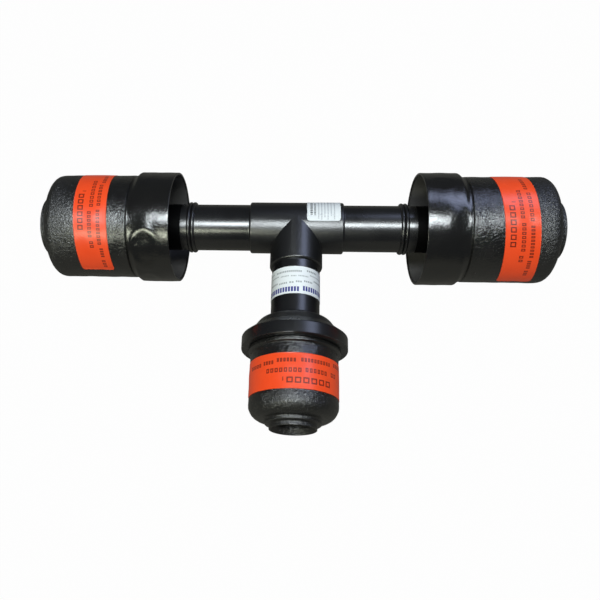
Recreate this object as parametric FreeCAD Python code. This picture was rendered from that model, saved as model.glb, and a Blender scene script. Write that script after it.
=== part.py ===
# Reducing tee for polyethylene gas pipe, with a push-in coupling welded to each outlet.
# The run lies along X, the branch points to -Y and Z is up.
# The origin is the point where the two centre lines cross. All sizes are in millimetres.
import FreeCAD, Part
import math
import os

# Pipes that the couplings take
run_pipe_od = 60.3
run_pipe_wall = 5.5
branch_pipe_od = 42.2
branch_pipe_wall = 3.9

# Clearances
pipe_clearance = 0.6        # pipe to guide tube and mouth, on the radius
lip_clearance = 0.6         # pipe to the lip of the rubber boot, on the radius
grip_clearance = 0.45       # pipe to the collet's teeth at rest, on the radius
stiffener_clearance = 0.4   # pipe bore to stiffener, on the radius
moulding_fit = 0.15         # plastic spigot in plastic socket, on the radius
rubber_fit = 0.25           # rubber boot over the parts that it covers
band_lift = 0.1             # printed band over the surface under it
collet_fit = 0.3            # collet to its taper, square to the taper
groove_fit = 0.05           # sealing ring to the bottom of its groove

# Tee moulding
hub_step = 3.25
run_hub_half = 60.5
branch_hub_reach = 60.0
hub_edge_round = 2.6
run_arm_length = 136.5
branch_arm_length = 90.0

# Weld rolls
roll_width = 5.0
roll_height = 3.1
inner_roll_height = 2.4

# Run coupling housing, with lengths from the weld
run_neck_length = 41.0
run_dome_face_length = 5.0
run_dome_face_height = 13.4
run_dome_length = 8.0
run_dome_edge_drop = 2.5
run_dome_crown_round = 4.0
run_dome_rim_round = 5.0
run_flange_front_length = 9.5
run_flange_step = 4.8
run_flange_thickness = 10.0
run_seat_behind_root = 4.0
run_seat_length = 8.0
run_guide_wall = 5.0
run_joint_wall = 6.0
run_joint_depth = 8.0

# Run coupling sleeve, collet and stiffener
run_sleeve_wall = 18.2
run_sleeve_length = 116.5
run_sleeve_round = 11.0
run_mouth_length = 7.0
run_collet_tip_wall = 6.7
run_collet_length = 41.0
run_collet_end_gap = 3.5
run_stiffener_wall = 5.25
run_stiffener_recess = 9.5
run_ring_section = 3.6
run_ring_squeeze = 0.5
run_ring_pitch = 14.0
run_ring_from_tip = 56.0

# Run coupling boot
run_boot_wall = 3.0
run_skirt_wall = 2.75
run_skirt_length = 40.4
run_boot_ramp_length = 8.5
run_boot_crease_length = 13.0
run_boot_crease_width = 1.8
run_boot_crease_depth = 0.9
run_boot_shoulder = 14.0
run_nose_wall = 6.05
run_nose_length = 14.0
run_nose_lip_length = 8.5
run_nose_rim = 1.5
run_nose_root_round = 12.0

# Branch coupling housing, with lengths from the weld
branch_neck_length = 40.5
branch_dome_face_length = 6.0
branch_dome_face_height = 13.85
branch_dome_length = 16.5
branch_dome_edge_drop = 12.6
branch_dome_crown_round = 12.0
branch_dome_rim_round = 1.5
branch_flange_front_length = 26.5
branch_flange_step = 14.6
branch_flange_thickness = 14.8
branch_seat_behind_root = 6.5
branch_seat_length = 7.0
branch_guide_wall = 4.5
branch_joint_wall = 5.6
branch_joint_depth = 8.0

# Branch coupling sleeve, collet and stiffener
branch_sleeve_wall = 14.6
branch_sleeve_length = 82.0
branch_sleeve_round = 12.0
branch_mouth_length = 6.0
branch_collet_tip_wall = 5.75
branch_collet_length = 34.0
branch_collet_end_gap = 3.0
branch_stiffener_wall = 4.3
branch_stiffener_recess = 8.0
branch_ring_section = 2.8
branch_ring_squeeze = 0.4
branch_ring_pitch = 11.0
branch_ring_from_tip = 46.0

# Branch coupling boot
branch_boot_wall = 2.6
branch_boot_lip_step = 2.8
branch_boot_lip_length = 4.5
branch_boot_shoulder = 16.0
branch_nose_wall = 6.25
branch_nose_length = 10.5
branch_nose_lip_length = 6.5
branch_nose_rim = 1.4
branch_nose_collar_step = 5.4
branch_nose_collar_length = 4.5
branch_nose_root_round = 2.0

# Collet form, the same in each coupling
taper_half_angle = 8.0
collet_travel = 4.0
collet_stop_gap = 0.5
cavity_step_height = 0.6
collet_tooth_count = 6
collet_tooth_depth = 1.2
collet_slit_count = 8
collet_slit_width = 2.2
collet_root_length = 6.0
collet_root_land = 4.0
collet_tip_land = 2.0
collet_tooth_slope_share = 0.9
groove_width_ratio = 1.44
stiffener_tip_length = 4.0
stiffener_tip_edge = 1.2

# Edge rounds and small lengths that repeat
root_round = 2.0
flange_round = 1.5
moulding_round = 0.8
socket_floor_round = 2.0
guide_tip_round = 1.5
throat_round = 3.0
sleeve_lip_round = 1.0
collet_round = 1.0
seat_round = 0.6
boot_ramp_round = 8.0
boot_foot_round = 4.0
boot_inner_round = 2.0
boot_inner_lag = 2.0
boot_lip_round = 1.2
collar_round = 1.5
collar_fall_length = 1.5
nose_round = 1.0
rubber_edge_round = 0.6
cut_overrun = 1.0
length_match = 0.0001

# Printed bands and labels, with angles from the top towards -Y, or towards -X on the branch
band_thickness = 0.3
band_width = 41.5
band_corner = 4.0
left_band_from_end = 39.25
left_band_angles = (-75.0, 85.0)
right_band_from_end = 28.75
right_band_angles = (-52.0, 108.0)
branch_band_from_end = 23.5
branch_band_angles = (-105.0, 85.0)
neck_label_from_hub = 11.5
neck_label_width = 36.8
neck_label_angles = (-105.0, 105.0)
hub_label_from_end = 5.0
hub_label_width = 42.5
hub_label_angles = (-80.0, 14.0)

spigot_radius = run_pipe_od / 2
spigot_bore = spigot_radius - run_pipe_wall
hub_radius = spigot_radius + hub_step
taper_slope = math.tan(math.radians(taper_half_angle))


def corner_reaches(vectors, radii):
    """Length that each rounded corner takes from its two edges; corners that meet share the edge."""
    count = len(vectors)
    halves = []
    reaches = []
    for i in range(count):
        back = vectors[i - 1] - vectors[i]
        ahead = vectors[(i + 1) % count] - vectors[i]
        halves.append(back.getAngle(ahead) / 2)
        reaches.append(radii[i] / math.tan(halves[i]))
    shares = [1.0] * count
    for i in range(count):
        following = (i + 1) % count
        wanted = reaches[i] + reaches[following]
        room = 0.96 * (vectors[following] - vectors[i]).Length
        if wanted > room:
            shares[i] = min(shares[i], room / wanted)
            shares[following] = min(shares[following], room / wanted)
    return [reaches[i] * shares[i] for i in range(count)], halves


def rounded_loop(points):
    """Closed wire through (s, r) points; a third number rounds that corner."""
    count = len(points)
    vectors = [FreeCAD.Vector(point[0], point[1], 0) for point in points]
    radii = [point[2] if len(point) > 2 else 0.0 for point in points]
    reaches, halves = corner_reaches(vectors, radii)
    starts = []
    ends = []
    middles = []
    for i in range(count):
        back = vectors[i - 1] - vectors[i]
        ahead = vectors[(i + 1) % count] - vectors[i]
        back.normalize()
        ahead.normalize()
        starts.append(vectors[i] + back * reaches[i])
        ends.append(vectors[i] + ahead * reaches[i])
        towards = back + ahead
        if reaches[i] > 0:
            towards.normalize()
            radius = reaches[i] * math.tan(halves[i])
            middles.append(vectors[i] + towards * (radius / math.sin(halves[i]) - radius))
        else:
            middles.append(None)
    edges = []
    for i in range(count):
        if middles[i] is not None:
            edges.append(Part.Arc(starts[i], middles[i], ends[i]).toShape())
        edges.append(Part.LineSegment(ends[i], starts[(i + 1) % count]).toShape())
    return Part.Wire(edges)


def turned(points):
    """Solid of revolution about the outlet's own centre line, along +X."""
    face = Part.Face(rounded_loop(points))
    return face.revolve(FreeCAD.Vector(0, 0, 0), FreeCAD.Vector(1, 0, 0), 360)


def placed(shape, turn):
    """Turn a shape that was made along +X about the vertical axis."""
    result = shape.copy()
    result.rotate(FreeCAD.Vector(0, 0, 0), FreeCAD.Vector(0, 0, 1), turn)
    return result


def save(shape, node):
    shape.exportStep(os.path.join("parts", node + ".step"))


def coupling_sizes(end):
    """All the sizes of one coupling; lengths along the outlet are measured from the tee's centre."""
    c = dict(end)
    c["pipe_radius"] = c["pipe_od"] / 2
    c["pipe_bore"] = c["pipe_radius"] - c["pipe_wall"]
    c["guide_bore"] = c["pipe_radius"] + pipe_clearance
    c["guide_outer"] = c["guide_bore"] + c["guide_wall"]
    c["lip_radius"] = c["pipe_radius"] + lip_clearance
    c["tooth_tip"] = c["pipe_radius"] + grip_clearance
    c["tooth_root"] = c["tooth_tip"] + collet_tooth_depth
    c["stiffener_radius"] = c["pipe_bore"] - stiffener_clearance
    c["stiffener_bore"] = c["stiffener_radius"] - c["stiffener_wall"]
    c["seat_radius"] = c["guide_bore"] - moulding_fit

    c["root"] = c["weld"] + c["neck"]
    c["front"] = c["root"] + c["flange_front"]
    c["back"] = c["front"] + c["flange_thick"]
    c["seat_start"] = c["root"] + c["seat_behind_root"]
    c["seat_end"] = c["seat_start"] + c["seat_length"]
    c["joint_floor"] = c["back"] - c["joint_depth"]
    c["sleeve_end"] = c["back"] + c["sleeve_length"]
    c["pocket_end"] = c["sleeve_end"] - c["mouth_length"]
    c["collet_end"] = c["pocket_end"] - c["collet_end_gap"]
    c["collet_start"] = c["collet_end"] - c["collet_length"]
    c["taper_start"] = c["collet_start"] - collet_travel - collet_stop_gap
    c["tip"] = c["sleeve_end"] - c["recess"]

    c["taper_end_radius"] = c["tooth_root"] + c["collet_tip_wall"]
    c["cavity_radius"] = taper_radius(c, c["taper_start"]) + cavity_step_height
    c["joint_radius"] = c["cavity_radius"] + c["joint_wall"]
    c["sleeve_radius"] = c["cavity_radius"] + c["sleeve_wall"]
    c["flange_radius"] = c["sleeve_radius"] + c["flange_step"]
    c["dome_edge_radius"] = c["flange_radius"] - c["dome_edge_drop"]
    c["dome_face_radius"] = spigot_radius + c["dome_face_height"]

    c["boot_radius"] = c["sleeve_radius"] + rubber_fit + c["boot_wall"]
    c["boot_face"] = c["sleeve_end"] + rubber_fit + c["boot_wall"]
    c["boot_tip"] = c["boot_face"] + c["nose_length"]
    c["nose_radius"] = c["lip_radius"] + c["nose_wall"]
    c["collar_radius"] = c["nose_radius"] + c["collar_step"]
    return c


def taper_radius(c, s):
    """Radius of the sleeve's taper at the distance s along the outlet."""
    return c["taper_end_radius"] + (c["pocket_end"] - s) * taper_slope


def tee_body():
    """One moulding: two hubs that meet in a mitre, three spigots and the tee's half of each run weld."""
    end = run_arm_length
    roll_start = end - roll_width
    crown = spigot_radius + roll_height
    soft = roll_width / 2
    run_outside = turned([
        (-end, 0), (-end, spigot_radius), (-end, crown, soft), (-roll_start, crown, soft),
        (-roll_start, spigot_radius), (-run_hub_half, spigot_radius),
        (-run_hub_half, hub_radius, hub_edge_round), (run_hub_half, hub_radius, hub_edge_round),
        (run_hub_half, spigot_radius), (roll_start, spigot_radius), (roll_start, crown, soft),
        (end, crown, soft), (end, spigot_radius), (end, 0)])
    branch_outside = turned([
        (0, 0), (0, hub_radius), (branch_hub_reach, hub_radius, hub_edge_round),
        (branch_hub_reach, spigot_radius), (branch_arm_length, spigot_radius),
        (branch_arm_length, 0)])
    inner_crown = spigot_bore - inner_roll_height
    run_bore = turned([
        (-end, 0), (-end, inner_crown, soft), (-roll_start, inner_crown, soft), (-roll_start, spigot_bore),
        (roll_start, spigot_bore), (roll_start, inner_crown, soft), (end, inner_crown, soft), (end, 0)])
    branch_bore = turned([
        (0, 0), (0, spigot_bore), (branch_arm_length, spigot_bore), (branch_arm_length, 0)])
    outside = run_outside.fuse(placed(branch_outside, -90))
    inside = run_bore.fuse(placed(branch_bore, -90))
    return outside.cut(inside).removeSplitter()


def housing(c):
    """Spigot, dome, flange and guide tube in one moulding, with the coupling's half of the weld."""
    weld = c["weld"]
    throat = min(spigot_bore, c["pipe_bore"])
    points = [(weld, spigot_bore), (weld, spigot_radius)]
    if c["has_roll"]:
        soft = roll_width / 2
        crown = spigot_radius + roll_height
        roll_end = weld + roll_width
        points += [(weld, crown, soft), (roll_end, crown, soft), (roll_end, spigot_radius)]
    points += [
        (c["root"], spigot_radius, root_round),
        (c["root"] + c["dome_face"], c["dome_face_radius"], c["crown_round"]),
        (c["root"] + c["dome"], c["dome_edge_radius"], c["rim_round"]),
        (c["front"], c["flange_radius"], flange_round), (c["back"], c["flange_radius"], moulding_round),
        (c["back"], c["joint_radius"] + moulding_fit), (c["joint_floor"], c["joint_radius"] + moulding_fit),
        (c["joint_floor"], c["guide_outer"], socket_floor_round),
        (c["taper_start"], c["guide_outer"], guide_tip_round),
        (c["taper_start"], c["guide_bore"], moulding_round),
        (c["seat_start"], c["guide_bore"]), (c["seat_start"], throat, moulding_round)]
    if throat < spigot_bore:
        points += [(c["seat_start"] - c["seat_length"], throat, throat_round),
                   (c["seat_start"] - 2 * c["seat_length"], spigot_bore, throat_round)]
    return turned(points)


def sleeve(c):
    """Outer barrel with the taper that closes the collet; its lip sits in the housing's socket."""
    lip_face = c["joint_floor"] + moulding_fit
    return turned([
        (lip_face, c["cavity_radius"], sleeve_lip_round), (lip_face, c["joint_radius"], sleeve_lip_round),
        (c["back"], c["joint_radius"]), (c["back"], c["sleeve_radius"]),
        (c["sleeve_end"], c["sleeve_radius"], c["sleeve_round"]),
        (c["sleeve_end"], c["guide_bore"], guide_tip_round),
        (c["pocket_end"], c["guide_bore"]), (c["pocket_end"], c["taper_end_radius"]),
        (c["taper_start"], taper_radius(c, c["taper_start"])), (c["taper_start"], c["cavity_radius"])])


def collet(c):
    """Split gripping ring: a tapered outside, buttress teeth inside and slits that leave a root ring."""
    start = c["collet_start"]
    end = c["collet_end"]
    gap = collet_fit / math.cos(math.radians(taper_half_angle))
    first_foot = end - collet_tip_land
    last_foot = start + collet_root_length + collet_root_land
    pitch = (first_foot - last_foot) / collet_tooth_count
    points = [
        (start, taper_radius(c, start) - gap, collet_round),
        (end, taper_radius(c, end) - gap, collet_round), (end, c["tooth_root"])]
    for i in range(collet_tooth_count):
        foot = first_foot - i * pitch
        points += [(foot, c["tooth_tip"]), (foot - collet_tooth_slope_share * pitch, c["tooth_root"])]
    points += [(start, c["tooth_root"], collet_round)]
    ring = turned(points)
    low = start + collet_root_length
    reach = taper_radius(c, start) + cut_overrun
    for i in range(collet_slit_count):
        corner = FreeCAD.Vector(low, -collet_slit_width / 2, 0)
        slit = Part.makeBox(end - low + cut_overrun, collet_slit_width, reach, corner)
        slit.rotate(FreeCAD.Vector(0, 0, 0), FreeCAD.Vector(1, 0, 0), (i + 0.5) * 360.0 / collet_slit_count)
        ring = ring.cut(slit)
    return ring


def groove_places(c):
    """Middles of the two sealing ring grooves along the stiffener."""
    last = c["tip"] - c["ring_from_tip"]
    return [last - c["ring_pitch"], last]


def ring_radius(c):
    """Middle line of a sealing ring that stands out of the stiffener by its squeeze."""
    return c["pipe_bore"] + c["ring_squeeze"] - c["ring_section"] / 2


def stiffener(c):
    """Tube that backs the pipe from inside: a seat collar, two ring grooves and a chamfered tip."""
    outer = c["stiffener_radius"]
    floor = ring_radius(c) - c["ring_section"] / 2 - groove_fit
    half = c["ring_section"] * groove_width_ratio / 2
    points = [
        (c["seat_start"], c["stiffener_bore"]), (c["seat_start"], c["seat_radius"], seat_round),
        (c["seat_end"], c["seat_radius"], seat_round), (c["seat_end"], outer)]
    for middle in groove_places(c):
        low = middle - half
        high = middle + half
        points += [(low, outer), (low, floor), (high, floor), (high, outer)]
    points += [
        (c["tip"] - stiffener_tip_length, outer), (c["tip"], c["stiffener_bore"] + stiffener_tip_edge),
        (c["tip"], c["stiffener_bore"])]
    return turned(points)


def sealing_ring(c, middle):
    return Part.makeTorus(
        ring_radius(c), c["ring_section"] / 2, FreeCAD.Vector(middle, 0, 0), FreeCAD.Vector(1, 0, 0))


def boot(c):
    """Rubber boot: a skirt or a rolled lip, a fitted cylinder, a round shoulder and an open nose."""
    inner = c["sleeve_radius"] + rubber_fit
    outer = c["boot_radius"]
    face = c["boot_face"]
    floor = c["sleeve_end"] + rubber_fit
    tip = c["boot_tip"]
    if c["skirt_length"] > 0:
        rim = c["back"] - c["skirt_length"]
        skirt_in = c["flange_radius"] + rubber_fit
        skirt_out = skirt_in + c["skirt_wall"]
        step = c["back"] + rubber_fit
        foot = step + c["ramp_length"]
        crease = step + c["crease_length"]
        half = c["crease_width"] / 2
        mouth_points = [
            (rim, skirt_in, rubber_edge_round), (rim, skirt_out, rubber_edge_round),
            (step, skirt_out, boot_ramp_round), (foot, outer, boot_foot_round), (crease - half, outer),
            (crease, outer - c["crease_depth"]), (crease + half, outer)]
        close_points = [
            (foot - boot_inner_lag, inner, boot_inner_round), (step, skirt_in, boot_inner_round)]
    else:
        rim = c["back"] + rubber_fit
        lip_end = rim + c["lip_width"]
        lip_radius = outer + c["lip_step"]
        mouth_points = [
            (rim, inner, rubber_edge_round), (rim, lip_radius, boot_lip_round),
            (lip_end, lip_radius, boot_lip_round), (lip_end + collar_fall_length, outer, nose_round)]
        close_points = []
    collar_end = face + c["collar_length"]
    end_points = [(face, outer, c["shoulder"]), (face, c["collar_radius"], c["nose_root_round"])]
    if c["collar_step"] > 0:
        end_points += [
            (collar_end, c["collar_radius"], collar_round),
            (collar_end + collar_fall_length, c["nose_radius"], nose_round)]
    end_points += [
        (tip, c["nose_radius"], rubber_edge_round),
        (tip, c["nose_radius"] - c["nose_rim"], rubber_edge_round),
        (floor + c["lip_length"], c["lip_radius"], collar_round),
        (floor, c["lip_radius"], rubber_edge_round), (floor, inner, c["sleeve_round"])]
    return turned(mouth_points + end_points + close_points)


def band(radius, start, width, angles):
    """Thin film bent round a cylinder along +X; angles run from the top towards -Y."""
    low = radius + band_lift
    face = Part.Face(Part.makePolygon([
        FreeCAD.Vector(start, 0, low), FreeCAD.Vector(start + width, 0, low),
        FreeCAD.Vector(start + width, 0, low + band_thickness),
        FreeCAD.Vector(start, 0, low + band_thickness), FreeCAD.Vector(start, 0, low)]))
    axis = FreeCAD.Vector(1, 0, 0)
    origin = FreeCAD.Vector(0, 0, 0)
    face.rotate(origin, axis, angles[0])
    film = face.revolve(origin, axis, angles[1] - angles[0])
    radial = [edge for edge in film.Edges if abs(edge.Length - band_thickness) < length_match]
    return film.makeFillet(band_corner, radial)


run_end = {
    "pipe_od": run_pipe_od, "pipe_wall": run_pipe_wall, "weld": run_arm_length, "has_roll": True,
    "neck": run_neck_length, "dome_face": run_dome_face_length, "dome_face_height": run_dome_face_height,
    "dome": run_dome_length, "dome_edge_drop": run_dome_edge_drop,
    "crown_round": run_dome_crown_round, "rim_round": run_dome_rim_round,
    "flange_front": run_flange_front_length, "flange_step": run_flange_step,
    "flange_thick": run_flange_thickness, "seat_behind_root": run_seat_behind_root,
    "seat_length": run_seat_length, "guide_wall": run_guide_wall, "joint_wall": run_joint_wall,
    "joint_depth": run_joint_depth, "sleeve_wall": run_sleeve_wall, "sleeve_length": run_sleeve_length,
    "sleeve_round": run_sleeve_round, "mouth_length": run_mouth_length,
    "collet_tip_wall": run_collet_tip_wall, "collet_length": run_collet_length,
    "collet_end_gap": run_collet_end_gap, "stiffener_wall": run_stiffener_wall,
    "recess": run_stiffener_recess, "ring_section": run_ring_section, "ring_squeeze": run_ring_squeeze,
    "ring_pitch": run_ring_pitch, "ring_from_tip": run_ring_from_tip, "boot_wall": run_boot_wall,
    "skirt_wall": run_skirt_wall, "skirt_length": run_skirt_length, "ramp_length": run_boot_ramp_length,
    "crease_length": run_boot_crease_length, "crease_width": run_boot_crease_width,
    "crease_depth": run_boot_crease_depth, "shoulder": run_boot_shoulder,
    "nose_wall": run_nose_wall, "nose_length": run_nose_length,
    "lip_length": run_nose_lip_length, "nose_rim": run_nose_rim, "collar_step": 0.0,
    "collar_length": 0.0, "nose_root_round": run_nose_root_round}

branch_end = {
    "pipe_od": branch_pipe_od, "pipe_wall": branch_pipe_wall, "weld": branch_arm_length,
    "has_roll": False, "neck": branch_neck_length, "dome_face": branch_dome_face_length,
    "dome_face_height": branch_dome_face_height, "dome": branch_dome_length,
    "dome_edge_drop": branch_dome_edge_drop, "crown_round": branch_dome_crown_round,
    "rim_round": branch_dome_rim_round, "flange_front": branch_flange_front_length,
    "flange_step": branch_flange_step, "flange_thick": branch_flange_thickness,
    "seat_behind_root": branch_seat_behind_root, "seat_length": branch_seat_length,
    "guide_wall": branch_guide_wall, "joint_wall": branch_joint_wall, "joint_depth": branch_joint_depth,
    "sleeve_wall": branch_sleeve_wall, "sleeve_length": branch_sleeve_length,
    "sleeve_round": branch_sleeve_round, "mouth_length": branch_mouth_length,
    "collet_tip_wall": branch_collet_tip_wall, "collet_length": branch_collet_length,
    "collet_end_gap": branch_collet_end_gap, "stiffener_wall": branch_stiffener_wall,
    "recess": branch_stiffener_recess, "ring_section": branch_ring_section,
    "ring_squeeze": branch_ring_squeeze, "ring_pitch": branch_ring_pitch,
    "ring_from_tip": branch_ring_from_tip, "boot_wall": branch_boot_wall, "skirt_length": 0.0,
    "lip_step": branch_boot_lip_step, "lip_width": branch_boot_lip_length,
    "shoulder": branch_boot_shoulder, "nose_wall": branch_nose_wall, "nose_length": branch_nose_length,
    "lip_length": branch_nose_lip_length, "nose_rim": branch_nose_rim,
    "collar_step": branch_nose_collar_step, "collar_length": branch_nose_collar_length,
    "nose_root_round": branch_nose_root_round}

os.makedirs("parts", exist_ok=True)
save(tee_body(), "tee_body")

run_sizes = coupling_sizes(run_end)
branch_sizes = coupling_sizes(branch_end)
outlets = [("left", run_sizes, 180.0), ("right", run_sizes, 0.0), ("branch", branch_sizes, -90.0)]

for side, sizes, turn in outlets:
    inner_place, outer_place = groove_places(sizes)
    save(placed(housing(sizes), turn), side + "_housing")
    save(placed(sleeve(sizes), turn), side + "_sleeve")
    save(placed(collet(sizes), turn), side + "_collet")
    save(placed(stiffener(sizes), turn), side + "_stiffener")
    save(placed(sealing_ring(sizes, inner_place), turn), side + "_inner_seal")
    save(placed(sealing_ring(sizes, outer_place), turn), side + "_outer_seal")
    save(placed(boot(sizes), turn), side + "_boot")

# The left band is made on the -X side, so its angles need no turning
run_boot = run_sizes["boot_radius"]
left_start = left_band_from_end - run_sizes["boot_face"]
right_start = run_sizes["boot_face"] - right_band_from_end - band_width
branch_start = branch_sizes["boot_face"] - branch_band_from_end - band_width
neck_start = branch_hub_reach + neck_label_from_hub
hub_start = run_hub_half - hub_label_from_end - hub_label_width
save(band(run_boot, left_start, band_width, left_band_angles), "left_band")
save(band(run_boot, right_start, band_width, right_band_angles), "right_band")
branch_film = band(branch_sizes["boot_radius"], branch_start, band_width, branch_band_angles)
neck_film = band(spigot_radius, neck_start, neck_label_width, neck_label_angles)
save(placed(branch_film, -90), "branch_band")
save(placed(neck_film, -90), "neck_label")
save(band(hub_radius, hub_start, hub_label_width, hub_label_angles), "hub_label")
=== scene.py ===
import bmesh
import bpy
import numpy as np
from math import cos, pi, radians, sin
from mathutils import Matrix, Vector


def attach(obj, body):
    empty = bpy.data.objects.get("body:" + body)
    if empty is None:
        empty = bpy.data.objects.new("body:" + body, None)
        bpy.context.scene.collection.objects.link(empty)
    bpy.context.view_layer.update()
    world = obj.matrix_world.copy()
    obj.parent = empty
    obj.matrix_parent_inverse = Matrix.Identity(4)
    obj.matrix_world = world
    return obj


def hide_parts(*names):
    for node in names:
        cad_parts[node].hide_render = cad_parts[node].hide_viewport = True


# Reducing tee for plastic gas pipe, seen from above and in front.
# The run lies along X and the branch towards -Y. Tables of shapes are in mm, and mm turns them into metres.
# Looks, lamps, floor and camera are in metres.
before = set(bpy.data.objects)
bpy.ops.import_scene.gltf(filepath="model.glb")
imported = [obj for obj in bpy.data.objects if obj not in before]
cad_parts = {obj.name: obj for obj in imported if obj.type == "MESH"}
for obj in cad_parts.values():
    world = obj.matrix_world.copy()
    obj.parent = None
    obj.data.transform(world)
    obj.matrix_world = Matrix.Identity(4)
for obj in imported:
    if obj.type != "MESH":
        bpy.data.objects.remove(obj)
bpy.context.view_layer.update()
mm = 0.001

# Each outlet: its direction and the side that angles turn to from the top
outlets = {
    "left": {"axis": (-1, 0, 0), "side": (0, -1, 0)},
    "right": {"axis": (1, 0, 0), "side": (0, -1, 0)},
    "branch": {"axis": (0, -1, 0), "side": (1, 0, 0)},
}


# Rounded outlines: points on each arc, the part of an edge that the arcs at its two ends may take up,
# the shortest edge that is kept in mm, and the number that keeps a division from zero
outlineDetail = {"arcPoints": 8, "edgeShare": 0.96, "shortest": 1e-5, "tiny": 1e-9}


def roundedLoop(corners):
    # Each corner (s, r, radius) becomes an arc that touches both edges:
    # centre = corner + bisector * radius / sin(half angle), swept by the angle pi - 2 * half
    corners = np.array(corners, float)
    points, radii = corners[:, :2], corners[:, 2]
    back = np.roll(points, 1, axis=0) - points
    ahead = np.roll(points, -1, axis=0) - points
    edge = np.linalg.norm(ahead, axis=1)
    back /= np.linalg.norm(back, axis=1)[:, None]
    ahead /= edge[:, None]
    half = np.arccos(np.clip((back * ahead).sum(1), -1, 1)) / 2
    reach = radii / np.tan(half)
    wanted = np.maximum(reach + np.roll(reach, -1), outlineDetail["tiny"])
    share = np.minimum(1, outlineDetail["edgeShare"] * edge / wanted)
    reach = reach * np.minimum(share, np.roll(share, 1))
    radius = reach * np.tan(half)
    bisector = back + ahead
    bisector /= np.maximum(np.linalg.norm(bisector, axis=1), outlineDetail["tiny"])[:, None]
    centre = points + bisector * (radius / np.sin(half))[:, None]
    start = points + back * reach[:, None] - centre
    end = points + ahead * reach[:, None] - centre
    turn = pi - 2 * half[:, None]
    t = np.linspace(0, 1, outlineDetail["arcPoints"])[None, :]
    startShare = np.sin((1 - t) * turn) / np.sin(turn)
    endShare = np.sin(t * turn) / np.sin(turn)
    arcs = centre[:, None] + startShare[..., None] * start[:, None] + endShare[..., None] * end[:, None]
    loop = arcs.reshape(-1, 2)
    return loop[np.linalg.norm(loop - np.roll(loop, 1, axis=0), axis=1) > outlineDetail["shortest"]]


def finer(loop, step):
    # Long edges get points in between, none further apart than the step
    following = np.roll(loop, -1, axis=0)
    parts = np.maximum(1, np.ceil(np.linalg.norm(following - loop, axis=1) / step).astype(int))
    owner = np.repeat(np.arange(len(loop)), parts)
    first = np.concatenate([[0], np.cumsum(parts)[:-1]])
    t = (np.arange(parts.sum()) - first[owner]) / parts[owner]
    return loop[owner] * (1 - t)[:, None] + following[owner] * t[:, None]


def around(outlet, s, r, a):
    # point = axis * s + side * r sin(a) + up * r cos(a), all in mm, given back in metres
    axis = np.array(outlets[outlet]["axis"], float)
    side = np.array(outlets[outlet]["side"], float)
    up = np.array([0.0, 0.0, 1.0])
    s, r, a = np.broadcast_arrays(s, r, a)
    place = s[..., None] * axis + (r * np.sin(a))[..., None] * side + (r * np.cos(a))[..., None] * up
    return place * mm


def gridFaces(rows, columns, closed):
    # Quads between neighbouring rows and columns; a closed grid joins its last row and column to its first
    last = 0 if closed else 1
    i, j = np.meshgrid(np.arange(rows - last), np.arange(columns - last), indexing="ij")
    nextRow, nextColumn = (i + 1) % rows * columns, (j + 1) % columns
    corners = [i * columns + j, nextRow + j, nextRow + nextColumn, i * columns + nextColumn]
    return np.stack(corners, -1).reshape(-1, 4)


def addObject(name, data):
    added = bpy.data.objects.new(name, data)
    bpy.context.scene.collection.objects.link(added)
    return added


def makeMesh(name, points, faces, uv=None):
    # The faces are turned round if the volume they enclose, as a sum of tetrahedra, comes out negative
    mesh = bpy.data.meshes.new(name)
    points = points.reshape(-1, 3)
    a, b, c, d = (points[faces[:, k]] for k in range(4))
    volume = (np.cross(b - a, c - a) * a).sum() + (np.cross(c - a, d - a) * a).sum()
    if volume < 0:
        faces = faces[:, ::-1]
    mesh.from_pydata(points.tolist(), [], faces.tolist())
    if uv is not None:
        layer = mesh.uv_layers.new(name="filmMap")
        corners = np.zeros(len(mesh.loops), int)
        mesh.loops.foreach_get("vertex_index", corners)
        layer.data.foreach_set("uv", uv.reshape(-1, 2)[corners].ravel())
    mesh.update()
    mesh.shade_smooth()
    return addObject(name, mesh)


def revolved(name, outlet, form, shape):
    # s(i), r(i) from the form's loop, both changed by shape(s, r, a); rows up to the loop's far end are the
    # outside, and the lining, which carries a painted sheen, is the part of the inside nearer the tee
    # than liningEnd
    loop = finer(roundedLoop(form["loop"]), form["step"])
    columns = form["columns"]
    a = np.linspace(0, 2 * pi, columns, endpoint=False)[None, :]
    outside = (np.arange(len(loop)) <= np.argmax(loop[:, 0]))[:, None]
    s, r = shape(loop[:, 0][:, None], loop[:, 1][:, None], a, outside)
    piece = makeMesh(name, around(outlet, s, r, a), gridFaces(len(loop), columns, True))
    paintedSheenLining = piece.data.attributes.new(name="paintedSheenLining", type="FLOAT", domain="POINT")
    inSkirt = ~outside[:, 0] & (loop[:, 0] < form["liningEnd"])
    paintedSheenLining.data.foreach_set("value", np.repeat(inSkirt, columns).astype(np.float32))
    return piece


def takePlace(piece, node):
    # The piece is shown in the node's place and stays with the fixed body
    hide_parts(node)
    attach(piece, "fitting")


def emptyMaterial(name):
    material = bpy.data.materials.new(name)
    material.use_nodes = True
    tree = material.node_tree
    tree.nodes.clear()
    return material, tree, tree.nodes.new("ShaderNodeOutputMaterial").inputs["Surface"]


def newMaterial(name):
    material, tree, surface = emptyMaterial(name)
    shader = tree.nodes.new("ShaderNodeBsdfPrincipled")
    tree.links.new(shader.outputs["BSDF"], surface)
    return material, tree, shader


def setMaterial(piece, material):
    piece.data.materials.clear()
    piece.data.materials.append(material)


def feed(tree, socket, value):
    if isinstance(value, bpy.types.NodeSocket):
        tree.links.new(value, socket)
    else:
        socket.default_value = value


def addNode(tree, kind, settings=None, **inputs):
    # Inputs go by their name, or by their number as n0, n1 and so on
    node = tree.nodes.new("ShaderNode" + kind)
    for key, value in (settings or {}).items():
        setattr(node, key, value)
    for key, value in inputs.items():
        numbered = key[0] == "n" and key[1:].isdigit()
        feed(tree, node.inputs[int(key[1:]) if numbered else key], value)
    return node


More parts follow.
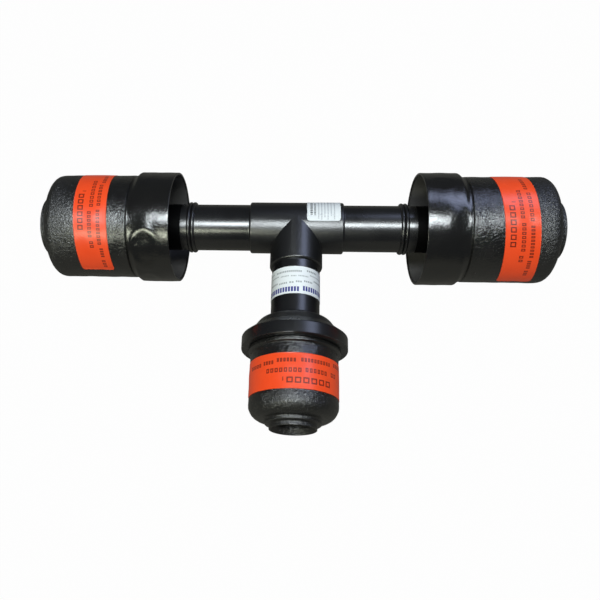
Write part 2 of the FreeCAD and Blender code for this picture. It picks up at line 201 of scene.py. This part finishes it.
def maths(tree, operation, *values):
    numbered = {"n%d" % k: value for k, value in enumerate(values)}
    return addNode(tree, "Math", {"operation": operation}, **numbered).outputs[0]


def combined(tree, operation, values):
    # The operation over all the values, one after the other
    total = values[0]
    for value in values[1:]:
        total = maths(tree, operation, total, value)
    return total


def mapped(tree, value, before, after):
    ranges = {"n1": before[0], "n2": before[1], "n3": after[0], "n4": after[1]}
    return addNode(tree, "MapRange", Value=value, **ranges).outputs[0]


def mixedValue(tree, factor, first, second):
    return addNode(tree, "Mix", {"data_type": "FLOAT"}, Factor=factor, n2=first, n3=second).outputs[0]


def mixedColour(tree, factor, first, second):
    first, second = ((*colour, 1) if isinstance(colour, tuple) else colour for colour in (first, second))
    return addNode(tree, "Mix", {"data_type": "RGBA"}, Factor=factor, n6=first, n7=second).outputs[2]


def newGroup(name, floats, results):
    # A shader group that takes a vector and some floats, and gives floats
    group = bpy.data.node_groups.new(name, "ShaderNodeTree")
    group.interface.new_socket(name="Vector", in_out="INPUT", socket_type="NodeSocketVector")
    for label in floats:
        group.interface.new_socket(name=label, in_out="INPUT", socket_type="NodeSocketFloat")
    for label in results:
        group.interface.new_socket(name=label, in_out="OUTPUT", socket_type="NodeSocketFloat")
    return group, group.nodes.new("NodeGroupInput").outputs, group.nodes.new("NodeGroupOutput").inputs


def useGroup(tree, group, inputs):
    node = tree.nodes.new("ShaderNodeGroup")
    node.node_tree = group
    for key, value in inputs.items():
        feed(tree, node.inputs[key], value)
    return node.outputs


grainLayers = {
    "patches": {"Detail": 3.0, "Roughness": 0.55},
    "crinkles": {"Detail": 4.0, "Roughness": 0.6, "Distortion": 0.8},
}


def makeGrainGroup():
    # Two layers of noise: broad patches and fine crinkles, as one height and one patch value
    group, ins, outs = newGroup("surfaceGrain", ["Patch Scale", "Crinkle Scale", "Crinkle Share"],
                                ["Height", "Patches"])
    patches = addNode(group, "TexNoise", Vector=ins["Vector"], Scale=ins["Patch Scale"],
                      **grainLayers["patches"]).outputs["Fac"]
    crinkles = addNode(group, "TexNoise", Vector=ins["Vector"], Scale=ins["Crinkle Scale"],
                       **grainLayers["crinkles"]).outputs["Fac"]
    group.links.new(mixedValue(group, ins["Crinkle Share"], patches, crinkles), outs["Height"])
    group.links.new(patches, outs["Patches"])
    return group


def makeWordGroup():
    # A generic printed word: a row of plain blocks between Start and End, 1 where there is ink and 0 outside.
    # Block k is centred at Start + (k + 0.5) * Pitch and is Fill * Pitch long. With inside = the distance
    # to its edge, the mask is clamp(inside / Blur) - clamp((inside - Stroke) / Blur), so that a block is
    # hollow where it is more than Stroke from its edge.
    group, ins, outs = newGroup("printedWord", [
        "Start", "End", "Across", "Half Height", "Pitch", "Fill", "Blur", "Stroke"], ["Mask"])

    def clamped(value):
        return addNode(group, "Clamp", Value=maths(group, "DIVIDE", value, ins["Blur"])).outputs[0]

    split = addNode(group, "SeparateXYZ", Vector=ins["Vector"]).outputs
    fromStart = maths(group, "SUBTRACT", split["X"], ins["Start"])
    toEnd = maths(group, "SUBTRACT", ins["End"], split["X"])
    offset = maths(group, "ABSOLUTE", maths(group, "SUBTRACT", split["Y"], ins["Across"]))
    height = maths(group, "SUBTRACT", ins["Half Height"], offset)
    halfPitch = maths(group, "MULTIPLY", ins["Pitch"], 0.5)
    fromMiddle = maths(group, "PINGPONG", maths(group, "SUBTRACT", fromStart, halfPitch), halfPitch)
    block = maths(group, "SUBTRACT", maths(group, "MULTIPLY", halfPitch, ins["Fill"]), fromMiddle)
    inside = combined(group, "MINIMUM", [fromStart, toEnd, height, block])
    hollow = clamped(maths(group, "SUBTRACT", inside, ins["Stroke"]))
    group.links.new(maths(group, "SUBTRACT", clamped(inside), hollow), outs["Mask"])
    return group


grain = makeGrainGroup()
printedWord = makeWordGroup()
# The part of the patch noise over which a look's roughness goes from its first to its second value
patchSpan = (0.3, 0.7)


def dressSkin(tree, shader, look, colour, rough, height):
    bump = addNode(tree, "Bump", Height=height, Strength=look["bump"], Distance=look["depth"])
    tree.links.new(colour, shader.inputs["Base Color"])
    tree.links.new(rough, shader.inputs["Roughness"])
    tree.links.new(bump.outputs[0], shader.inputs["Normal"])
    shader.inputs["Specular IOR Level"].default_value = look["shine"]


def startSkin(tree, place, look):
    # The grain's height, the ground colour in soft patches, and the roughness that follows the patches
    skin = useGroup(tree, grain, {"Vector": place, "Patch Scale": look["patch"],
                                  "Crinkle Scale": look["crinkle"], "Crinkle Share": look["share"]})
    colour = mixedColour(tree, skin["Patches"], look["dark"], look["light"])
    return skin["Height"], colour, mapped(tree, skin["Patches"], patchSpan, look["rough"])


def zoneShare(tree, place, edges):
    # 1 inside the zone: the product, over its edges, of clamp((|coordinate| - low) / (high - low))
    split = addNode(tree, "SeparateXYZ", Vector=place).outputs
    return combined(tree, "MULTIPLY", [
        mapped(tree, maths(tree, "ABSOLUTE", split[axis]), (low, high), (0.0, 1.0))
        for axis, low, high in edges])


def mouldedPlastic(look):
    # A moulded skin with faint patches and grain. A boot's lining gets a pale grey colour, a painted sheen
    # for the lit inside of the skirt, and a roughness of its own. In each zone the grain is multiplied by a
    # number and the roughness becomes the zone's.
    material, tree, shader = newMaterial(look["name"])
    place = addNode(tree, "TexCoord").outputs["Object"]
    height, colour, rough = startSkin(tree, place, look)
    # Painted sheen: the lining's colour is mixed towards a pale grey that stands for the lit inside of the
    # skirt
    if "paintedSheenLining" in look:
        inside = addNode(tree, "Attribute", {"attribute_name": "paintedSheenLining"}).outputs["Fac"]
        colour = mixedColour(tree, inside, colour, look["paintedSheenLining"])
        rough = mixedValue(tree, inside, rough, look["liningRough"])
    for zone in look.get("zones", []):
        share = zoneShare(tree, place, zone["edges"])
        height = maths(tree, "MULTIPLY", height, mixedValue(tree, share, 1.0, zone["grain"]))
        rough = mixedValue(tree, share, rough, zone["rough"])
    dressSkin(tree, shader, look, colour, rough, height)
    shader.inputs["IOR"].default_value = look["ior"]
    return material


# Each look: two ground colours, the scales of patches and crinkles and the crinkles' share of the height, the
# roughness over the patches, and the bump's strength and depth. A zone's edges: axis, the distance from the
# middle where the zone begins to show, and the one where it is complete.
gloss = {"dark": (0.0030, 0.0030, 0.0034), "light": (0.0065, 0.0065, 0.0064), "patch": 18.0, "crinkle": 380.0,
         "share": 0.45, "rough": (0.20, 0.31), "bump": 0.30, "depth": 0.0006, "ior": 1.6, "shine": 1.0}
plasticLooks = {
    "tee": {**gloss, "name": "glossyPolyethylene", "zones": [
        {"edges": [("X", 0.0612, 0.0600), ("Y", 0.0610, 0.0598)], "rough": 0.33, "grain": 2.8}]},
    "neck": {**gloss, "name": "neckPolyethylene"},
    # Painted shade: the neck where it runs in under a skirt, near black and without gloss
    "paintedSkirtShade": {**gloss, "name": "paintedShadePolyethylene", "dark": (0.0010, 0.0010, 0.0010),
                   "light": (0.0020, 0.0020, 0.0020), "rough": (0.50, 0.60), "bump": 0.2, "ior": 1.45,
                   "shine": 0.08},
    "dome": {"name": "satinPolyethylene", "dark": (0.0040, 0.0042, 0.0048), "light": (0.0080, 0.0080, 0.0085),
             "patch": 22.0, "crinkle": 320.0, "share": 0.35, "rough": (0.24, 0.33), "bump": 0.22,
             "depth": 0.0005, "ior": 1.55, "shine": 0.9},
    # The boot's lining colour is a painted sheen, far paler than the rubber itself
    "boot": {"name": "bootRubber", "dark": (0.0032, 0.0032, 0.0030), "light": (0.0080, 0.0076, 0.0062),
             "patch": 30.0, "crinkle": 360.0, "share": 0.55, "rough": (0.17, 0.30), "bump": 0.85,
             "depth": 0.0014, "ior": 1.6, "shine": 1.0, "paintedSheenLining": (0.135, 0.130, 0.125), "liningRough": 0.6,
             "zones": [
                 {"edges": [("X", 0.262, 0.298)], "rough": 0.38, "grain": 2.1},
                 {"edges": [("X", 0.120, 0.100), ("Y", 0.222, 0.240)], "rough": 0.29, "grain": 1.9},
                 {"edges": [("X", 0.140, 0.150), ("X", 0.2110, 0.2085)], "rough": 0.185, "grain": 0.35}]},
    "sleeve": {"name": "sleevePlastic", "dark": (0.02, 0.02, 0.021), "light": (0.035, 0.035, 0.035),
               "patch": 25.0, "crinkle": 300.0, "share": 0.4, "rough": (0.35, 0.5), "bump": 0.2,
               "depth": 0.0004, "ior": 1.5, "shine": 0.5},
    "collet": {"name": "colletPlastic", "dark": (0.50, 0.47, 0.40), "light": (0.62, 0.60, 0.53),
               "patch": 30.0, "crinkle": 350.0, "share": 0.4, "rough": (0.45, 0.6), "bump": 0.2,
               "depth": 0.0003, "ior": 1.5, "shine": 0.5},
    "stiffener": {"name": "stiffenerPlastic", "dark": (0.012, 0.012, 0.013), "light": (0.020, 0.020, 0.021),
                  "patch": 25.0, "crinkle": 300.0, "share": 0.4, "rough": (0.3, 0.42), "bump": 0.2,
                  "depth": 0.0003, "ior": 1.5, "shine": 0.5},
    "seal": {"name": "sealRubber", "dark": (0.010, 0.010, 0.010), "light": (0.02, 0.02, 0.02),
             "patch": 60.0, "crinkle": 500.0, "share": 0.5, "rough": (0.4, 0.55), "bump": 0.2,
             "depth": 0.0002, "ior": 1.5, "shine": 0.5},
}
plastics = {key: mouldedPlastic(look) for key, look in plasticLooks.items()}


# Copies of the solids: how close points are joined and cut, and the angle in degrees that stays sharp
copyDetail = {"joinWithin": 0.00001, "cutWithin": 0.000001, "crease": 13}
copiedPieces = {
    "tee_body": {"look": "tee", "slot": "tee"},
    # The run housings get painted shade of the skirt, near black and unglossy, beyond the given distance
    "left_housing": {"look": "neck", "slot": "housing", "paintedShadeFrom": 0.1500},
    "right_housing": {"look": "neck", "slot": "housing", "paintedShadeFrom": 0.1520},
    "branch_housing": {"look": "dome", "slot": "housing"},
}
innerPieces = {"sleeve": "sleeve", "collet": "collet", "stiffener": "stiffener", "inner_seal": "seal",
               "outer_seal": "seal"}


def smoothCopy(node, look, paintedShadeFrom=None):
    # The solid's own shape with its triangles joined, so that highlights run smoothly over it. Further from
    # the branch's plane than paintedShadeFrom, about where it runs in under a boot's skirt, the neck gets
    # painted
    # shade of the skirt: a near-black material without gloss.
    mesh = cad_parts[node].data.copy()
    mesh.name = node + "Skin"
    joined = bmesh.new()
    joined.from_mesh(mesh)
    bmesh.ops.remove_doubles(joined, verts=joined.verts, dist=copyDetail["joinWithin"])
    if paintedShadeFrom is not None:
        for side in (-1, 1):
            everything = joined.verts[:] + joined.edges[:] + joined.faces[:]
            bmesh.ops.bisect_plane(joined, geom=everything, dist=copyDetail["cutWithin"],
                                   plane_co=(side * paintedShadeFrom, 0, 0), plane_no=(1, 0, 0))
    joined.to_mesh(mesh)
    joined.free()
    if mesh.has_custom_normals:
        mesh.attributes.remove(mesh.attributes["custom_normal"])
    mesh.shade_smooth()
    mesh.set_sharp_from_angle(angle=radians(copyDetail["crease"]))
    piece = addObject(mesh.name, mesh)
    setMaterial(piece, plastics[look])
    # Painted shade: faces beyond that distance take the near-black, unglossy material
    if paintedShadeFrom is not None:
        mesh.materials.append(plastics["paintedSkirtShade"])
        centres = np.zeros(len(mesh.polygons) * 3)
        mesh.polygons.foreach_get("center", centres)
        mesh.polygons.foreach_set("material_index", (np.abs(centres[::3]) > paintedShadeFrom).astype(np.int32))
    return piece


for node, copied in copiedPieces.items():
    takePlace(smoothCopy(node, copied["look"], copied.get("paintedShadeFrom")), node)
for outlet in outlets:
    for pieceName, look in innerPieces.items():
        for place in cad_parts[outlet + "_" + pieceName].material_slots:
            place.material = plastics[look]
print("moulded pieces done")


# Each loop: length from the tee's centre, radius, and a third number that rounds the corner. The swell grows
# from nothing at the radius swellAbove to all of it 1 mm further out.
bootForms = {
    "run": {
        "loop": [(156.6, 69.25, 0.6), (156.6, 72.0, 0.6), (202.0, 72.0, 4.0), (207.0, 67.45, 2.5),
                 (208.8, 67.45, 0.4), (210.3, 65.2, 0.3), (212.0, 67.45, 0.4), (317.5, 67.45, 13.0),
                 (317.5, 37.6, 16.0), (330.5, 37.6, 0.6), (330.5, 35.3, 0.6), (322.25, 30.75, 1.5),
                 (313.75, 30.75, 0.6), (313.75, 64.45, 11.0), (203.75, 64.45, 2.0), (197.25, 69.25, 2.0)],
        "columns": 288, "step": 2.2, "swellAbove": 66.0, "liningEnd": 200.0,
    },
    "branch": {
        "loop": [(172.05, 49.8, 0.6), (172.05, 55.2, 1.2), (176.55, 55.2, 1.2), (178.05, 52.4, 0.8),
                 (256.65, 52.4, 16.0), (256.65, 33.2, 2.0), (261.15, 33.2, 1.5), (262.65, 27.95, 1.0),
                 (267.15, 27.95, 0.6), (267.15, 26.55, 0.6), (260.3, 21.7, 1.5), (254.05, 21.7, 0.6),
                 (254.05, 49.8, 12.0)],
        "columns": 240, "step": 2.2, "swellAbove": 51.0, "liningEnd": 200.0,
    },
}
# Each dent: middle along, middle angle in degrees towards the outlet's side, half length, half angle, depth
# and rim height. Its wall, its rim's place and its rim's width are the same parts of the half sizes in all.
bootDents = {
    "left": [(187, 55, 17, 21, 1.2, 0.55), (199, 46, 4, 5, 0.4, 0.3),
             (190, 100, 14, 14, 0.6, 0.2), (222, 62, 10, 18, 0.4, 0.1)],
    "right": [(199, 22, 8, 14, 0.25, 0.1), (201, 52, 9, 16, 0.25, 0.1), (178, -22, 14, 10, 0.3, 0.1),
              (196, -8, 9, 12, 0.3, 0.1), (176, 62, 14, 18, 0.3, 0.1), (232, -28, 16, 12, 0.3, 0.1)],
    "branch": [(184, 20, 7, 10, 0.4, 0.15), (184, -30, 7, 12, 0.4, 0.15), (243, -28, 8, 14, 0.6, 0.2),
               (246, 34, 9, 12, 0.4, 0.15)],
}
dentWall, dentRim, dentRimWidth = 0.5, 1.08, 0.17
# Each wave: height in mm, turn along in radians per mm, waves around, and how many seeds it starts at
bootWaves = [(0.26, 0.0, 2, 1), (0.16, 0.04, 3, 2), (0.12, 0.09, 5, 1), (0.09, 0.16, -4, 3),
             (0.05, 0.31, 9, 5), (0.05, 0.27, -13, 2)]
bootSeeds = {"left": 0.4, "right": 2.1, "branch": 4.0}


def smoothStep(low, high, value):
    t = np.clip((value - low) / (high - low), 0, 1)
    return t * t * (3 - 2 * t)


def bootSwell(outlet, s, a):
    # Radius change in mm: the sum over the waves of height * sin(turn * s + count * a + seeds * seed), and
    # for each dent, with q = distance from its middle in half sizes:
    # - depth * smoothstep((1 - q) / wall) + rim height * exp(-((q - rim) / rim width)^2)
    swell = sum(height * np.sin(turn * s + count * a + seeds * bootSeeds[outlet])
                for height, turn, count, seeds in bootWaves)
    for along, angle, halfLength, halfAngle, depth, rimHeight in bootDents[outlet]:
        aside = (a - radians(angle) + pi) % (2 * pi) - pi
        q = np.sqrt(((s - along) / halfLength) ** 2 + (aside / radians(halfAngle)) ** 2)
        rim = rimHeight * np.exp(-((q - dentRim) / dentRimWidth) ** 2)
        swell = swell - depth * smoothStep(0, dentWall, 1 - q) + rim
    return swell


# The side of the run boots that faces up and front: there the ramp stretches into a gentle slope that ends in
# a small step at the crease, and the skirt's rim lies further from the tee than on the far side
nearSide = {"angle": radians(31), "slope": (180.0, 208.8), "radii": (72.0, 69.0), "from": 178.0,
            "step": 209.7, "rimTilt": 4.0, "tiltEnd": 190.0, "tiltLength": 33.0}
# The boot's inside: its two radii and where it steps from one to the other, the least rubber outside it, and
# where the free part of the skirt ends and how soon it swells in full
skirtInside = {"from": 182.0, "flangeEnd": 197.25, "stepEnd": 203.75, "radii": (69.25, 64.45), "cover": 0.2,
               "freeEnd": 187.0, "freeFade": 5.0}


def branchBootShape(s, r, a, outside):
    # Outside: r = r + swell
    form = bootForms["branch"]
    outer = r + bootSwell("branch", s, a) * np.clip(r - form["swellAbove"], 0, 1)
    return s + 0 * a, np.where(outside, outer, r)


def runBootShape(outlet):
    # Outside: r = r + swell + near * (slope(s) - r), with near = max(0, cos(a - side))^2 and slope one
    # smoothstep between its two radii, never thinner than the cover. Inside: only the free skirt swells, so
    # r = r + swell * clamp((freeEnd - s) / freeFade).
    # s = s - rimTilt * (1 - cos(a - side)) / 2 * w^2, where w falls from 1 at the rim to 0 at the tilt's end
    form = bootForms["run"]

    def shaped(s, r, a, outside):
        swell = bootSwell(outlet, s, a)
        first, last = nearSide["radii"]
        slope = first - (first - last) * smoothStep(*nearSide["slope"], s)
        near = np.clip(np.cos(a - nearSide["angle"]), 0, 1) ** 2
        onSlope = (s > nearSide["from"]) & (s < nearSide["step"])
        outer = r + swell * np.clip(r - form["swellAbove"], 0, 1) + np.where(onSlope, near * (slope - r), 0)
        step = (s - skirtInside["flangeEnd"]) / (skirtInside["stepEnd"] - skirtInside["flangeEnd"])
        wide, narrow = skirtInside["radii"]
        least = wide - (wide - narrow) * np.clip(step, 0, 1) + skirtInside["cover"]
        overInside = (s > skirtInside["from"]) & (s < skirtInside["stepEnd"])
        outer = np.where(overInside, np.maximum(outer, least), outer)
        inner = r + swell * np.clip((skirtInside["freeEnd"] - s) / skirtInside["freeFade"], 0, 1)
        tilt = nearSide["rimTilt"] * (1 - np.cos(a - nearSide["angle"])) / 2
        w = np.clip((nearSide["tiltEnd"] - s) / nearSide["tiltLength"], 0, 1)
        return s - tilt * w ** 2, np.where(outside, outer, inner)
    return shaped


bootShapes = {"left": ("run", runBootShape("left")), "right": ("run", runBootShape("right")),
              "branch": ("branch", branchBootShape)}
for outlet, (form, shape) in bootShapes.items():
    boot = revolved(outlet + "BootSkin", outlet, bootForms[form], shape)
    setMaterial(boot, plastics["boot"])
    takePlace(boot, outlet + "_boot")
print("boots done")


# Each film: start and width along the outlet, angles in degrees from the top towards the outlet's side, and
# its printed lines as generic words: (start along, end along, middle across, height, pitch of the blocks) in
# mm on the film. Where a film is skewed, s = start + d + slope * (a - level), with the slope in mm per radian
# and the level in degrees.
films = {
    "left_band": {
        "look": "orange", "outlet": "left", "start": 236.0, "width": 41.5,
        "angles": (-75, 85), "radius": 67.45, "skew": (-2.33, -5),
        "words": [(-12.5, -10.5, 9.4, 5, 2), (-8, 42, 12.0, 7.4, 8.3), (-33, 13, -1.5, 5.2, 5.7),
                  (17, 50, 0.6, 5.2, 4.8), (54, 64, -0.1, 5.4, 5), (-49, -27, -12.5, 4.8, 4.4),
                  (-24, 11, -10.8, 5, 5), (15, 60, -10.2, 5, 4.5), (63.5, 77, -11.4, 5, 3.4),
                  (81, 95, -10.8, 5, 4.7)]},
    "right_band": {
        "look": "orange", "outlet": "right", "start": 246.5, "width": 41.5,
        "angles": (-52, 101), "radius": 67.45, "skew": (3.94, 20),
        "words": [(0.5, 2.5, -8.5, 5, 2), (5, 58, -11.3, 7.4, 8.8), (-17, 23, 0.0, 5.2, 5),
                  (27, 63, 0.9, 5.4, 5.1), (67, 77.5, -0.3, 5.4, 5.2), (-43, -17, 9.7, 4.8, 4.3),
                  (-13, 26, 11.0, 5, 5.6), (30, 71, 11.4, 5.2, 4.1), (74, 87, 10.2, 5.2, 3.3),
                  (90, 101, 9.4, 5, 3.7)]},
    "branch_band": {
        "look": "orange", "outlet": "branch", "start": 191.65, "width": 41.5,
        "angles": (-85, 105), "radius": 52.4,
        "words": [(-13, -11, 9.8, 5.0, 2.0), (-9, 47, 11.0, 7.4, 9.3), (-33, 9, -0.4, 5.6, 5.3),
                  (12.5, 41, -1.0, 5.6, 4.8), (47, 58, -1.6, 5.6, 5.5), (-61, -40, -9.0, 5.0, 4.2),
                  (-37, -23, -10.0, 5.0, 3.5), (-20, 3, -12.0, 5.0, 3.8), (7.5, 46, -12.6, 5.0, 3.9),
                  (52, 72, -14.4, 5.0, 4.0)]},
    "neck_label": {
        "look": "neck", "outlet": "branch", "start": 71.5, "width": 36.8,
        "angles": (-105, 105), "radius": 30.15,
        "words": [(-40, -31, -12.6, 2.4, 2.3), (-26, 7.5, -11.6, 2.8, 2.4), (13.5, 29.5, -13.2, 2.8, 2.7),
                  (-36, -22, -6.6, 1.9, 2.0), (-19.5, -8, -5.4, 1.9, 1.9), (-6, 1, -5.0, 1.9, 1.9),
                  (3, 16, -5.4, 1.9, 1.9), (18, 42, -8.0, 1.9, 2.0), (-38, -24, 2.4, 2.6, 2.4),
                  (-22, -10, 3.8, 2.6, 2.4), (-8, -2, 3.6, 2.6, 3.0), (0, 8, 2.6, 2.6, 2.6),
                  (10, 22, 1.4, 2.6, 2.5), (24, 42, -1.6, 2.6, 2.5)],
        "heading": [(-42, 5, 12.6, 6.8, 3.6), (8.5, 47, 11.2, 6.8, 3.5)]},
    "hub_label": {
        "look": "hub", "outlet": "right", "start": 13.0, "width": 42.5,
        "angles": (-80, 14), "radius": 33.4,
        "words": [(-30, 6, -6.6, 1.7, 2.1), (-34, 7, -2.7, 1.7, 2.2), (-32, 4, 1.2, 1.7, 2.1),
                  (-36, 7, 5.2, 1.7, 2.2), (-30, 2, 9.2, 1.7, 2.1), (-34, 6.5, 13.3, 1.7, 2.2)],
        "heading": [(-26, 0, -15.6, 3.4, 3.0), (-24, 1, -11.2, 2.4, 2.4)]},
}
# All films: corner radius, air under the film and its thickness in mm, and its points across and along
filmSheet = {"corner": 4.0, "lift": 0.1, "thickness": 0.3, "rows": 61, "columns": 161}
# Printed blocks: the part of the pitch that a block fills, and its stroke in mm, which grows with its height
wordPrint = {"fill": 0.82, "stroke": 0.35, "strokeGrowth": 0.14}


def filmPiece(name, film):
    # The rows lie at d from the edge next to the tee. A row spans the angles less the corner inset
    # c - sqrt(c^2 - (c - e)^2), where e is the distance to the nearer edge, made an angle by the radius.
    # Radius = radius + the boot's swell under a band + lift, and + thickness on top.
    rows, columns, corner = filmSheet["rows"], filmSheet["columns"], filmSheet["corner"]
    d = np.linspace(0, film["width"], rows)
    nearest = np.minimum(d, film["width"] - d)
    inset = corner - np.sqrt(np.maximum(corner * corner - (corner - nearest) ** 2, 0))
    inset = np.where(nearest < corner, inset, 0) / film["radius"]
    low = radians(film["angles"][0]) + inset
    high = radians(film["angles"][1]) - inset
    t = np.linspace(0, 1, columns)[None, :]
    a = low[:, None] * (1 - t) + high[:, None] * t
    slope, level = film.get("skew", (0.0, 0.0))
    s = (film["start"] + d)[:, None] + slope * (a - radians(level))
    r = film["radius"] + (bootSwell(film["outlet"], s, a) if name.endswith("band") else 0 * a)
    top = around(film["outlet"], s, r + filmSheet["lift"] + filmSheet["thickness"], a)
    under = around(film["outlet"], s, r + filmSheet["lift"], a)
    across = (d - film["width"] / 2)[:, None] + 0 * a
    uv = np.stack([a * film["radius"] * mm, across * mm], -1)
    faces = gridFaces(rows, columns, False)
    count = rows * columns
    rim = np.concatenate([np.arange(columns), np.arange(2 * columns, count + 1, columns)[: rows - 2] - 1,
                          np.arange(count - 1, count - columns - 1, -1),
                          np.arange(count - 2 * columns, 0, -columns)])
    rimNext = np.roll(rim, -1)
    edge = np.stack([rim, rim + count, rimNext + count, rimNext], -1)
    allFaces = np.concatenate([faces, faces[:, ::-1] + count, edge])
    return makeMesh(name + "Film", np.stack([top, under]), allFaces, np.stack([uv, uv]))


def wordMask(tree, uv, words, blur):
    # The words of a film as one mask: the largest of their own masks
    masks = []
    for start, end, across, height, pitch in words:
        stroke = wordPrint["stroke"] + wordPrint["strokeGrowth"] * height
        masks.append(useGroup(tree, printedWord, {
            "Vector": uv, "Start": start * mm, "End": end * mm, "Across": across * mm,
            "Half Height": height / 2 * mm, "Pitch": pitch * mm, "Fill": wordPrint["fill"], "Blur": blur,
            "Stroke": stroke * mm})["Mask"])
    return combined(tree, "MAXIMUM", masks)


def filmMaterial(name, look, film):
    # Satin film with its ground colour in soft patches, and each set of words inked over it
    material, tree, shader = newMaterial(name)
    height, colour, rough = startSkin(tree, addNode(tree, "TexCoord").outputs["Object"], look)
    uv = addNode(tree, "UVMap", {"uv_map": "filmMap"}).outputs["UV"]
    for kind in ("words", "heading"):
        if kind in film:
            *ink, cover = look[kind]
            mask = wordMask(tree, uv, film[kind], look["blur"])
            colour = mixedColour(tree, maths(tree, "MULTIPLY", mask, cover), colour, tuple(ink))
    dressSkin(tree, shader, look, colour, rough, height)
    # A faint glow in the film's own colour that needs no lamp: the fluorescent ink's extra brightness,
    # painted as a steady glow
    tree.links.new(colour, shader.inputs["Emission Color"])
    shader.inputs["Emission Strength"].default_value = look["fluorescentGlow"]
    return material


# Ink colours end with how strongly the ink covers the film
white = {"slot": "white_film", "dark": (0.84, 0.88, 0.87), "light": (0.90, 0.92, 0.92), "patch": 30.0,
         "crinkle": 200.0, "share": 0.35, "rough": (0.34, 0.46), "bump": 0.15, "depth": 0.0008,
         "blur": 0.0005, "fluorescentGlow": 0.0, "shine": 0.5}
filmLooks = {
    # The orange film's glow strength is painted glow for its fluorescent ink
    "orange": {"slot": "orange_film", "dark": (0.77, 0.056, 0.009), "light": (0.88, 0.082, 0.017),
               "patch": 26.0, "crinkle": 150.0, "share": 0.35, "rough": (0.28, 0.38), "bump": 0.35,
               "depth": 0.0008, "blur": 0.0007, "fluorescentGlow": 0.20, "shine": 0.75,
               "words": (0.03, 0.005, 0.003, 0.90)},
    "neck": {**white, "words": (0.12, 0.13, 0.13, 0.80), "heading": (0.012, 0.012, 0.22, 1.0)},
    "hub": {**white, "words": (0.16, 0.17, 0.20, 0.72), "heading": (0.010, 0.010, 0.016, 1.0)},
}
for name, film in films.items():
    look = filmLooks[film["look"]]
    piece = filmPiece(name, film)
    setMaterial(piece, filmMaterial(name + "Print", look, film))
    takePlace(piece, name)
print("films done")


# The floor glows for the camera and, much less, in reflections; all other light meets a matt grey surface
floorLook = {"size": 14.0, "height": -0.0729, "seenGlow": 0.985, "mirroredGlow": 0.04, "patch": 3.0,
             "detail": 2.0, "dark": (0.120, 0.112, 0.092), "light": (0.132, 0.124, 0.104)}
roomLook = {"colour": (0.85, 0.90, 1.0), "strength": 0.065}
lamps = {
    "ceilingStrip": {"place": (0.0, -0.47, 2.15), "target": (0, 0, 0), "size": (1.40, 0.54),
                     "colour": (0.90, 0.97, 1.0), "power": 40.0},
    "frontStrip": {"place": (-1.08, -1.75, 1.65), "target": (-1.08, 0, 0), "size": (1.4, 0.42),
                   "colour": (0.96, 1.0, 0.80), "power": 16.5},
    "backWindow": {"place": (1.12, 1.02, 1.76), "target": (0, 0, 0), "size": (1.4, 0.75),
                   "colour": (0.60, 0.69, 1.0), "power": 10.0},
}
# Angles in degrees, lens and sensor in mm
cameraView = {"place": (0.00393, -0.43715, 0.72754), "yaw": -9.1065, "pitch": 65.15, "roll": -7.309,
              "lens": 38.424, "sensor": 36, "shift": 0.07365, "nearest": 0.01}


def makeFloor(look):
    mesh = bpy.data.meshes.new("floor")
    half, height = look["size"] / 2, look["height"]
    corners = [(x * half, y * half, height) for x, y in ((-1, -1), (1, -1), (1, 1), (-1, 1))]
    mesh.from_pydata(corners, [], [(0, 1, 2, 3)])
    floor = addObject("floor", mesh)
    material, tree, surface = emptyMaterial("paleFloor")
    path = addNode(tree, "LightPath").outputs
    seen = maths(tree, "MULTIPLY", path["Is Camera Ray"], look["seenGlow"])
    mirrored = maths(tree, "MAXIMUM", path["Is Glossy Ray"], path["Is Transmission Ray"])
    share = maths(tree, "MAXIMUM", seen, maths(tree, "MULTIPLY", mirrored, look["mirroredGlow"]))
    noise = addNode(tree, "TexNoise", Scale=look["patch"], Detail=look["detail"])
    tint = mixedColour(tree, noise.outputs["Fac"], look["dark"], look["light"])
    matt = addNode(tree, "BsdfDiffuse", Color=tint)
    glow = addNode(tree, "Emission", Color=(1, 1, 1, 1), Strength=1.0)
    mix = addNode(tree, "MixShader", n0=share, n1=matt.outputs[0], n2=glow.outputs[0])
    tree.links.new(mix.outputs[0], surface)
    mesh.materials.append(material)


def makeRoom(look):
    world = bpy.data.worlds.new("softRoom")
    bpy.context.scene.world = world
    world.use_nodes = True
    tree = world.node_tree
    tree.nodes.clear()
    room = addNode(tree, "Background", Color=(*look["colour"], 1), Strength=look["strength"])
    white = addNode(tree, "Background", Color=(1, 1, 1, 1), Strength=1.0)
    seen = addNode(tree, "LightPath").outputs["Is Camera Ray"]
    pick = addNode(tree, "MixShader", n0=seen, n1=room.outputs[0], n2=white.outputs[0])
    tree.links.new(pick.outputs[0], tree.nodes.new("ShaderNodeOutputWorld").inputs["Surface"])


def addLamp(name, place, target, size, colour, power):
    lamp = bpy.data.lights.new(name, "AREA")
    lamp.shape = "RECTANGLE"
    lamp.size, lamp.size_y = size
    lamp.color = colour
    lamp.energy = power
    turn = (Vector(target) - Vector(place)).to_track_quat("-Z", "Y").to_matrix().to_4x4()
    addObject(name, lamp).matrix_world = Matrix.Translation(place) @ turn


def makeCamera(view):
    yaw, pitch, roll = (radians(view[k]) for k in ("yaw", "pitch", "roll"))
    ahead = Vector((sin(yaw) * cos(pitch), cos(yaw) * cos(pitch), -sin(pitch)))
    level = Vector((cos(yaw), -sin(yaw), 0))
    upright = level.cross(ahead)
    right = level * cos(roll) + upright * sin(roll)
    up = upright * cos(roll) - level * sin(roll)
    data = bpy.data.cameras.new("photoCamera")
    data.sensor_width = view["sensor"]
    data.lens = view["lens"]
    data.shift_x = view["shift"]
    data.clip_start = view["nearest"]
    camera = addObject("photoCamera", data)
    turn = Matrix((right, up, -ahead)).transposed().to_4x4()
    camera.matrix_world = Matrix.Translation(view["place"]) @ turn
    bpy.context.scene.camera = camera


for name, lamp in lamps.items():
    addLamp(name, **lamp)
makeRoom(roomLook)
makeFloor(floorLook)
makeCamera(cameraView)
bpy.context.scene.view_settings.view_transform = "Standard"
print("room and camera done")
